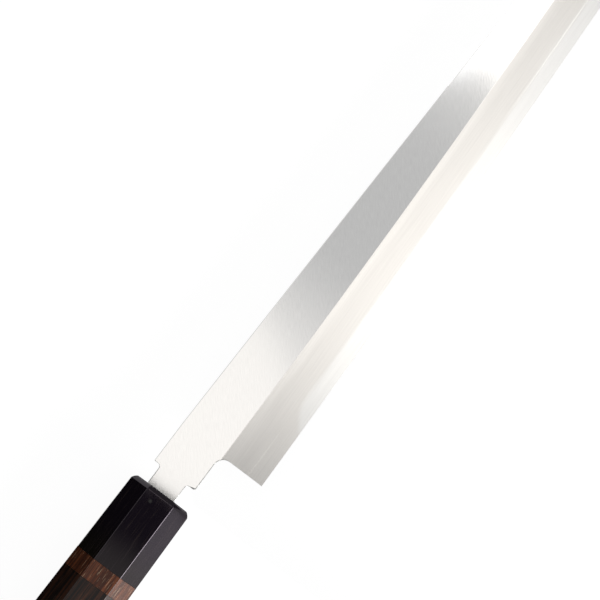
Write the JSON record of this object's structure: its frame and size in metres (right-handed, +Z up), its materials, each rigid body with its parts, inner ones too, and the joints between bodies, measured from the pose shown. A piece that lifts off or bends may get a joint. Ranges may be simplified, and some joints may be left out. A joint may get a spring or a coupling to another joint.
{
  "type": "kiritsuke knife",
  "caption": "Long single-bevel slicing knife with a laminated steel blade, slanted tip, notched neck and an octagonal wooden handle with a horn ferrule and a wooden spacer ring.",
  "frame": {"origin": "bottom centre of the bounding box, with the knife lying on its back face and the handle's axis level", "axes": "+X to the tip along the handle's axis, +Y to the spine, +Z up out of the bevelled face"},
  "size_m": [0.4318, 0.0392, 0.021],
  "materials": {
    "cladding_iron": "hairline brushed",
    "edge_steel": "fine stone polish",
    "ferrule_horn": "polished black horn",
    "ring_wood": "open-pored, sanded",
    "grip_wood": "striped dark hardwood, sanded",
    "dowel_wood": "plain turned",
    "bedding_resin": "set resin"
  },
  "bodies": {
    "root": {"blade_cladding": "cladding_iron", "blade_edge_steel": "edge_steel", "horn_ferrule": "ferrule_horn", "spacer_ring": "ring_wood", "handle_body": "grip_wood", "core_dowel": "dowel_wood", "tang_resin": "bedding_resin"}
  },
  "joints": []
}
